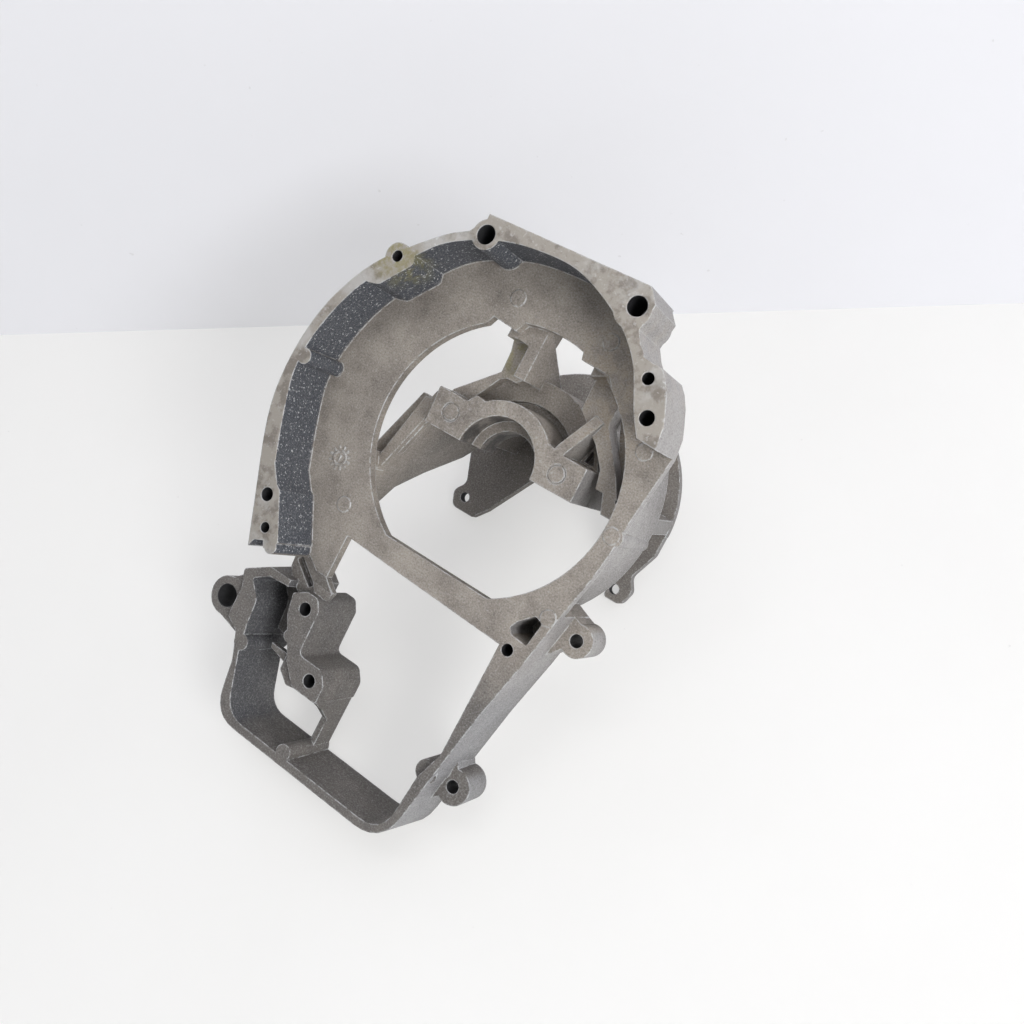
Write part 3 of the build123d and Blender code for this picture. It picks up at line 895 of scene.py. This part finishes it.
class Workshop:
    """Builds one material's node tree."""

    def __init__(self, name: str) -> None:
        """Starts an empty tree.

        Args:
            name: The material's name.
        """
        self.material = bpy.data.materials.new(name)
        self.material.use_nodes = True
        self.tree = self.material.node_tree
        self.tree.nodes.clear()

    def node(self, kind: str, settings: dict | None = None, inputs: dict | None = None,
             output: str | int = 0) -> Value:
        """Adds one node.

        Args:
            kind: The node's type.
            settings: Its properties, set first; "stops" fills a colour ramp.
            inputs: Values or links by socket name or number.
            output: The output socket wanted.

        Returns:
            The wrapped output.
        """
        made = self.tree.nodes.new(kind)
        for key, value in (settings or {}).items():
            if key == "stops":
                self._ramp(made, value)
            else:
                setattr(made, key, value)
        for key, value in (inputs or {}).items():
            socket = made.inputs[key]
            if isinstance(value, Value):
                self.tree.links.new(value.socket, socket)
            else:
                socket.default_value = value
        return Value(self, made.outputs[output])

    @staticmethod
    def _ramp(made: bpy.types.Node, stops: list[tuple[float, tuple]]) -> None:
        """Fills a colour ramp.

        Args:
            made: The ramp node.
            stops: Pairs of place and colour.
        """
        ramp = made.color_ramp
        while len(ramp.elements) < len(stops):
            ramp.elements.new(0.5)
        for element, (place, colour) in zip(ramp.elements, stops):
            element.position = place
            element.color = colour

    def blend(self, mask: Value | float, under: Value | Tone, over: Value | Tone) -> Value:
        """Mixes two colours.

        Args:
            mask: 0 gives the first colour and 1 the second.
            under: First colour.
            over: Second colour.

        Returns:
            The mixed colour.
        """
        first, second = (tone.rgba if isinstance(tone, Tone) else tone for tone in (under, over))
        return self.node("ShaderNodeMix", {"data_type": "RGBA"}, {0: mask, 6: first, 7: second}, 2)

    def noise(self, place: Value, scale: float, detail: float = 4.0, rough: float = 0.55) -> Value:
        """Noise in casting axes.

        Args:
            place: Coordinates in millimetres.
            scale: Cells per millimetre.
            detail: Octaves.
            rough: Weight of the finer octaves.

        Returns:
            Noise from 0 to 1.
        """
        return self.node("ShaderNodeTexNoise", {}, {"Vector": place, "Scale": scale, "Detail": detail,
                                                    "Roughness": rough})

    def dot(self, vector: Value, axis: Value | Triple) -> Value:
        """Length of a vector along an axis."""
        return self.node("ShaderNodeVectorMath", {"operation": "DOT_PRODUCT"}, {0: vector, 1: axis}, "Value")

    def finish(self, colour: Value, rough: Value | float, metal: Value | float,
               normal: Value | None = None) -> bpy.types.Material:
        """Closes the tree with one principled shader.

        Args:
            colour: Base colour.
            rough: Roughness.
            metal: Metallic.
            normal: Bumped normal.

        Returns:
            The material.
        """
        sockets = {"Base Color": colour, "Roughness": rough, "Metallic": metal}
        if normal:
            sockets["Normal"] = normal
        shader = self.node("ShaderNodeBsdfPrincipled", {}, sockets)
        self.surface(shader)
        return self.material

    def surface(self, shader: Value) -> None:
        """Links a shader to the material's surface."""
        out = self.tree.nodes.new("ShaderNodeOutputMaterial")
        self.tree.links.new(shader.socket, out.inputs["Surface"])


@dataclass(frozen=True)
class Spot:
    """A shaded point in the casting's own axes, in millimetres, with the way that it faces."""

    u: Value
    v: Value
    h: Value
    place: Value
    normal: Value
    face_u: Value
    face_v: Value
    face_h: Value
    radius: Value

    def near(self, at_u: float, at_v: float, size: float) -> Value:
        """A soft round patch seen along the crank axis.

        Args:
            at_u: Centre of the patch.
            at_v: Centre of the patch.
            size: Its radius in millimetres.

        Returns:
            1 in the middle and 0 outside.
        """
        du, dv = self.u - at_u, self.v - at_v
        return (du * du + dv * dv).root().step(size, size * 0.35)


@dataclass(frozen=True)
class Grain:
    """The noises that the stains share, from the widest to the finest, each from 0 to 1."""

    broad: Value
    patch: Value
    fine: Value
    pits: Value


@dataclass(frozen=True)
class Zones:
    """Masks of the casting's faces, each 1 on its own faces and 0 elsewhere; pocket, deep, seat and bore also
    carry painted shade.
    """

    scroll_wall: Value
    outside: Value
    frame: Value
    pocket: Value
    deep: Value
    rim: Value
    seat: Value
    bore: Value


@dataclass(frozen=True)
class CastSkin:
    """The brown-grey skin of a magnesium die casting, with stains, white oxidation, bare faces, painted shade
    and painted edge highlights.
    """

    grain: float = 1.5
    grain_height: float = 0.10
    bump_strength: float = 0.55
    edge_radius: float = 0.9
    soft_radius: float = 0.6
    bevel_samples: int = 6
    speck_scale: float = 1.1
    thread_pitch: float = 0.8

    def material(self) -> bpy.types.Material:
        """Builds the skin.

        Returns:
            The casting's material.
        """
        shop = Workshop("cast_skin")
        spot = self._spot(shop)
        grain = Grain(broad=shop.noise(spot.place, 0.045, 5.0, 0.6),
                      patch=shop.noise(spot.place, 0.16, 6.0, 0.65),
                      fine=shop.noise(spot.place, self.grain, 5.0, 0.7),
                      pits=shop.noise(spot.place, 0.62, 3.0, 0.6))
        zones = self._zones(spot, grain)
        colour = self._as_cast(shop, spot, grain, zones)
        colour = self._worn_rim(shop, grain, zones, colour)
        colour = self._sulphur(shop, spot, grain, colour)
        colour = self._oxide_and_edge_highlight(shop, spot, zones, colour)
        # Painted shade: the hole walls go nearly black and the bearing seat's walls dark, with oily streaks
        # in the seat.
        colour = shop.blend(zones.bore.high(zones.seat * 0.8), colour, Tone.GRIME_AND_SHADE)
        rough = 0.62 + 0.2 * grain.fine - 0.18 * zones.rim - 0.12 * zones.outside - 0.1 * zones.scroll_wall
        metal = 0.25 + 0.35 * zones.rim + 0.2 * zones.outside
        return shop.finish(colour, rough, metal, self._relief(shop, spot, grain, zones))

    @staticmethod
    def _spot(shop: Workshop) -> Spot:
        """Works out where the shaded point lies on the casting.

        Args:
            shop: The material's builder.

        Returns:
            The point in the casting's axes.
        """
        row = shop.node("ShaderNodeTexCoord", output="Object")
        sin, cos = math.sin(TILT), math.cos(TILT)
        axes = ((1.0, 0.0, 0.0), (0.0, cos, sin), (0.0, -sin, cos))
        shift = [CRANK_FOOT.dot(Vector(axis)) for axis in axes]
        u, v, h = (shop.dot(row, tuple(a / MM for a in axis)) - off for axis, off in zip(axes, shift))
        place = shop.node("ShaderNodeCombineXYZ", {}, {0: u, 1: v, 2: h})
        normal = shop.node("ShaderNodeNewGeometry", output="Normal")
        faces = (shop.dot(normal, axis) for axis in axes)
        return Spot(u, v, h, place, normal, *faces, (u * u + v * v).root())

    def _zones(self, spot: Spot, grain: Grain) -> Zones:
        """Finds the faces that differ in finish.

        Args:
            spot: The shaded point.
            grain: The shared noises.

        Returns:
            The masks.
        """
        u, v, h, radius = spot.u, spot.v, spot.h, spot.radius
        inward = (u * spot.face_u + v * spot.face_v) / radius * -1.0
        upright = spot.face_h.step(0.75, 0.45)
        streaks = upright * (0.5 + 0.5 * grain.patch.step(0.35, 0.6))
        return Zones(
            scroll_wall=upright * h.step(-1.0, 1.5) * inward.step(0.0, 0.35) * v.step(-74.0, -68.0),
            outside=upright * spot.face_u.step(0.25, 0.75) * u.step(18.0, 30.0),
            frame=v.step(-52.0, -86.0),
            # Painted shade: the pocket's walls that face right are darkened.
            pocket=v.step(-70.0, -84.0) * upright * spot.face_u.step(-0.2, 0.4) * u.step(-30.0, -45.0),
            # Painted shade: faces far behind the scroll floor are darkened.
            deep=h.step(-8.0, -40.0),
            rim=spot.face_h.step(0.85, 0.95) * h.step(RIM_TOP - 1.0, RIM_TOP - 0.2),
            # Painted shade with oily streaks on the bearing seat's walls; bore marks hole walls painted dark
            # as shade.
            seat=radius.step(17.0, 16.4) * h.step(-2.7, -3.6) * streaks,
            bore=self._bores(spot))

    @staticmethod
    def _as_cast(shop: Workshop, spot: Spot, grain: Grain, zones: Zones) -> Value:
        """Colours the skin as cast, with a painted pool of light and painted shade: floor, frame, outer walls
        and scroll wall.

        Args:
            shop: The material's builder.
            spot: The shaded point.
            grain: The shared noises.
            zones: Masks of the faces.

        Returns:
            The colour.
        """
        broad, patch, fine = grain.broad, grain.patch, grain.fine
        mottle = broad.step(0.35, 0.65) * 0.55 + patch.step(0.45, 0.7) * 0.35
        colour = shop.blend(mottle, Tone.FLOOR, Tone.FLOOR_DARK)
        # Painted pool of light on the upper right of the floor, broken up by noise.
        painted_light_pool = spot.near(34.0, 46.0, 34.0) * patch.step(0.40, 0.62)
        colour = shop.blend(painted_light_pool * 0.6, colour, Tone.LIT_TAN)
        colour = shop.blend(zones.frame * (0.6 + 0.4 * patch), colour, Tone.FRAME_AND_SHADE)
        colour = shop.blend(zones.outside * (0.75 - 0.45 * broad), colour, Tone.OUTSIDE)
        # The scroll wall's own dark tone, and painted shade on the pocket's walls.
        colour = shop.blend((zones.scroll_wall * 0.9).high(zones.pocket * 0.55), colour, Tone.WALL_AND_SHADE)
        # Painted shade on the faces far behind the scroll floor.
        colour = shop.blend(zones.deep * 0.6, colour, Tone.FRAME_AND_SHADE)
        colour = shop.blend(fine.step(0.48, 0.70) * 0.42 * (1.0 - zones.rim), colour, Tone.GRIME_AND_SHADE)
        return shop.blend(fine.step(0.50, 0.32) * 0.24, colour, Tone.OXIDE_AND_HIGHLIGHT)

    @staticmethod
    def _worn_rim(shop: Workshop, grain: Grain, zones: Zones, colour: Value) -> Value:
        """Lays the stained and rubbed face of the rim over the skin.

        Args:
            shop: The material's builder.
            grain: The shared noises.
            zones: Masks of the faces.
            colour: The colour so far.

        Returns:
            The colour with the rim's face.
        """
        worn = shop.blend(grain.patch.step(0.46, 0.62) * 0.7, Tone.RIM, Tone.RIM_STAIN)
        rubbed = grain.broad.step(0.50, 0.62) * 0.5 + grain.pits.step(0.62, 0.7) * 0.4
        return shop.blend(zones.rim * 0.88, colour, shop.blend(rubbed, worn, Tone.BARE))

    @staticmethod
    def _sulphur(shop: Workshop, spot: Spot, grain: Grain, colour: Value) -> Value:
        """Stains the cover ear and the top arm yellow.

        Args:
            shop: The material's builder.
            spot: The shaded point.
            grain: The shared noises.
            colour: The colour so far.

        Returns:
            The colour with the stain.
        """
        ear = spot.near(-60.0, 49.0, 13.0) * spot.h.step(2.0, 18.0)
        arm = spot.near(-14.0, 38.0, 11.0) * spot.h.step(-4.0, -8.0) * spot.h.step(-26.0, -20.0)
        return shop.blend(ear.high(arm * 0.8) * grain.patch.step(0.42, 0.6) * 0.55, colour, Tone.SULPHUR)

    def _oxide_and_edge_highlight(self, shop: Workshop, spot: Spot, zones: Zones, colour: Value) -> Value:
        """Adds white along the edges, as painted highlight mixed with oxidised patches, and white oxidised
        specks on the scroll wall.

        Args:
            shop: The material's builder.
            spot: The shaded point.
            zones: Masks of the faces.
            colour: The colour so far.

        Returns:
            The colour with the oxidised specks and the painted edge highlights.
        """
        specks = shop.noise(spot.place, self.speck_scale, 2.0, 0.5).step(0.61, 0.70)
        edge_patches = shop.noise(spot.place, 0.35, 5.0, 0.7)
        # Painted highlight along the rounded edges, mixed with white oxidation and broken up by noise.
        edge = (1.0 - shop.dot(self._bevel(shop, self.edge_radius), spot.normal)).step(0.01, 0.12)
        oxide_and_highlight = (edge * edge_patches.step(0.40, 0.56) * 0.8).high(specks * (zones.scroll_wall * 0.7 + 0.14))
        return shop.blend(oxide_and_highlight, colour, Tone.OXIDE_AND_HIGHLIGHT)

    def _relief(self, shop: Workshop, spot: Spot, grain: Grain, zones: Zones) -> Value:
        """Softens the edges and adds the cast grain, pits and threads.

        Args:
            shop: The material's builder.
            spot: The shaded point.
            grain: The shared noises.
            zones: Masks of the faces.

        Returns:
            The bumped normal.
        """
        thread = (spot.h * (2 * math.pi / self.thread_pitch)).wave() * zones.bore
        height = grain.fine * 0.5 + grain.pits * 0.5 - grain.pits.step(0.3, 0.22) * 0.6 + thread * 1.2
        soft = self._bevel(shop, self.soft_radius)
        return shop.node("ShaderNodeBump", {}, {"Strength": self.bump_strength,
                                                "Distance": self.grain_height * MM * 2,
                                                "Height": height, "Normal": soft})

    def _bevel(self, shop: Workshop, radius: float) -> Value:
        """The normal of a surface whose edges are rounded by a radius in millimetres."""
        return shop.node("ShaderNodeBevel", {"samples": self.bevel_samples}, {"Radius": radius * MM})

    @staticmethod
    def _bores(spot: Spot) -> Value:
        """Mask of the walls of all small holes, where shade is painted.

        Args:
            spot: The shaded point.

        Returns:
            1 inside a hole.
        """
        mask: Value | None = None
        for hole in HOLES:
            du, dv = spot.u - hole.u, spot.v - hole.v
            near = (du * du + dv * dv).root().step(hole.radius * 1.1, hole.radius * 1.02)
            above = spot.h.step(hole.low, hole.low + 0.5)
            below = spot.h.step(hole.high - 0.9, hole.high - 1.6)
            inside = near * above * below
            mask = inside if mask is None else mask.high(inside)
        return mask


@dataclass
class Casting:
    """The crankcase half itself."""

    node: str = "crankcase"
    scroll: Scroll = field(default_factory=Scroll)
    lower: LowerFrame = field(default_factory=LowerFrame)
    chamber: Chamber = field(default_factory=Chamber)
    marks: Marks = field(default_factory=Marks)
    skin: CastSkin = field(default_factory=CastSkin)

    def build(self) -> None:
        """Casts the half with its fillets and fine forms, in place of the plain solid."""
        mould = Mould("crankcase_casting")
        self.scroll.cast(mould)
        self.lower.cast(mould)
        self.chamber.cast(mould)
        self.chamber.bore_out(mould)
        self.marks.cast(mould)
        body = mould.solid
        body.data.materials.clear()
        body.data.materials.append(self.skin.material())
        body.data.shade_smooth()
        body.data.set_sharp_from_angle(angle=SHARP_ANGLE)
        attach(body, "root")
        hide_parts(self.node)
        log.info("cast %s with %d faces", self.node, len(body.data.polygons))


@dataclass
class Studio:
    """Table, backdrop, lights and camera.

    The camera stands at eye, in millimetres, and looks along forward, with the picture's axes along right and
    down. edge_left and edge_right are where the table's far edge meets the picture's sides, in pixels.
    """

    reach: float = 3.0
    frame_px: int = 1024
    focal_px: float = 1000.0
    edge_left: Point = (0.0, 335.0)
    edge_right: Point = (1023.0, 303.0)
    sky: Triple = (0.95, 0.97, 1.0)
    sky_strength: float = 0.5
    overhead_at: Triple = (-0.25, 0.35, 1.1)
    overhead_size: float = 0.9
    overhead_power: float = 11.0
    window_at: Triple = (0.9, -0.25, 0.7)
    window_size: float = 0.45
    window_power: float = 9.0
    eye: Triple = (163.0, -115.76, 390.7)
    forward: Triple = (-0.3812, 0.3498, -0.8558)
    right: Triple = (0.7977, 0.5923, -0.1133)
    down: Triple = (0.4672, -0.7258, -0.5048)

    @staticmethod
    def _paper(name: str, tone: Tone, seen: float) -> bpy.types.Material:
        """A pale matt surface that stays pale to the camera.

        Args:
            name: The material's name.
            tone: Its colour.
            seen: Share of plain glow in what the camera and mirror-like surfaces see of it.

        Returns:
            The material.
        """
        shop = Workshop(name)
        row = shop.node("ShaderNodeTexCoord", output="Object")
        cloud = shop.node("ShaderNodeTexNoise", {}, {"Vector": row, "Scale": 6.0, "Detail": 3.0})
        dust = shop.node("ShaderNodeTexNoise", {}, {"Vector": row, "Scale": 260.0, "Detail": 2.0})
        colour = shop.blend(cloud.step(0.35, 0.7) * 0.05 + dust.step(0.76, 0.80) * 0.25, tone, Tone.FRAME_AND_SHADE)
        rough = 0.6 + 0.1 * cloud
        paper = shop.node("ShaderNodeBsdfPrincipled", {}, {"Base Color": colour, "Roughness": rough})
        glow = shop.node("ShaderNodeEmission", {}, {"Color": Tone.GLOW.rgba})
        camera = shop.node("ShaderNodeLightPath", output="Is Camera Ray")
        glossy = shop.node("ShaderNodeLightPath", output="Is Glossy Ray")
        share = camera.high(glossy) * seen
        shop.surface(shop.node("ShaderNodeMixShader", {}, {0: share, 1: paper, 2: glow}))
        return shop.material

    @staticmethod
    def _sheet(name: str, corners: list[Vector], material: bpy.types.Material) -> None:
        """One flat sheet of the surroundings.

        Args:
            name: The object's name.
            corners: Its corners in metres.
            material: Its material.
        """
        mesh = bpy.data.meshes.new(name)
        mesh.from_pydata([tuple(c) for c in corners], [], [(0, 1, 2, 3)])
        sheet = bpy.data.objects.new(name, mesh)
        sheet.data.materials.append(material)
        bpy.context.scene.collection.objects.link(sheet)

    def _on_table(self, x: float, y: float) -> Vector:
        """The point of the table seen at a place of the picture.

        Args:
            x: Pixels from the left.
            y: Pixels from the top.

        Returns:
            The point in metres.
        """
        middle = self.frame_px / 2
        ray = Vector(self.forward) + Vector(self.right) * ((x - middle) / self.focal_px) \
            + Vector(self.down) * ((y - middle) / self.focal_px)
        eye = Vector(self.eye) * MM
        return eye - ray * (eye.z / ray.z)

    def surroundings(self) -> None:
        """Table and backdrop, which meet along a line behind the casting."""
        r = self.reach
        corners = [Vector((x * r, y * r, 0)) for x, y in ((-1, -1), (1, -1), (1, 1), (-1, 1))]
        self._sheet("table", corners, self._paper("table", Tone.TABLE, 0.5))
        left, right = self._on_table(*self.edge_left), self._on_table(*self.edge_right)
        along = (right - left).normalized()
        left, right = left - along * r, right + along * r
        rise = Vector((0, 0, r))
        self._sheet("backdrop", [left, right, right + rise, left + rise],
                    self._paper("backdrop", Tone.BACKDROP, 0.42))

    def lights(self) -> None:
        """A large soft light above and a weaker one from the right."""
        world = bpy.data.worlds.new("air")
        bpy.context.scene.world = world
        world.use_nodes = True
        sky = world.node_tree.nodes["Background"]
        sky.inputs["Color"].default_value = (*self.sky, 1.0)
        sky.inputs["Strength"].default_value = self.sky_strength
        self._panel("overhead", self.overhead_at, (0.0, 0.0, 0.08), self.overhead_size, self.overhead_power)
        self._panel("window", self.window_at, (0.0, 0.0, 0.06), self.window_size, self.window_power)

    @staticmethod
    def _panel(name: str, at: Triple, aim: Triple, size: float, power: float) -> None:
        """One square light panel.

        Args:
            name: The light's name.
            at: Its place in metres.
            aim: The point that it faces.
            size: Edge length in metres.
            power: Watts.
        """
        data = bpy.data.lights.new(name, "AREA")
        data.size = size
        data.energy = power
        lamp = bpy.data.objects.new(name, data)
        lamp.location = at
        lamp.rotation_euler = (Vector(aim) - Vector(at)).to_track_quat("-Z", "Y").to_euler()
        bpy.context.scene.collection.objects.link(lamp)

    def camera(self) -> None:
        """The picture's camera."""
        data = bpy.data.cameras.new("camera")
        data.sensor_width = 36.0
        data.lens = data.sensor_width * self.focal_px / self.frame_px
        data.dof.use_dof = False
        data.clip_start = 0.01
        data.clip_end = 20.0
        holder = bpy.data.objects.new("camera", data)
        turn = Matrix((self.right, [-d for d in self.down], [-f for f in self.forward])).transposed()
        holder.matrix_world = Matrix.Translation(Vector(self.eye) * MM) @ turn.to_4x4()
        bpy.context.scene.collection.objects.link(holder)
        bpy.context.scene.camera = holder

    def build(self) -> None:
        """Sets up everything round the casting."""
        self.surroundings()
        self.lights()
        self.camera()
        bpy.context.scene.view_settings.view_transform = "Standard"
        log.info("studio ready")


def main() -> None:
    """Builds the picture."""
    logging.basicConfig(level=logging.INFO)
    Casting().build()
    Studio().build()


if __name__ == "__main__":
    main()
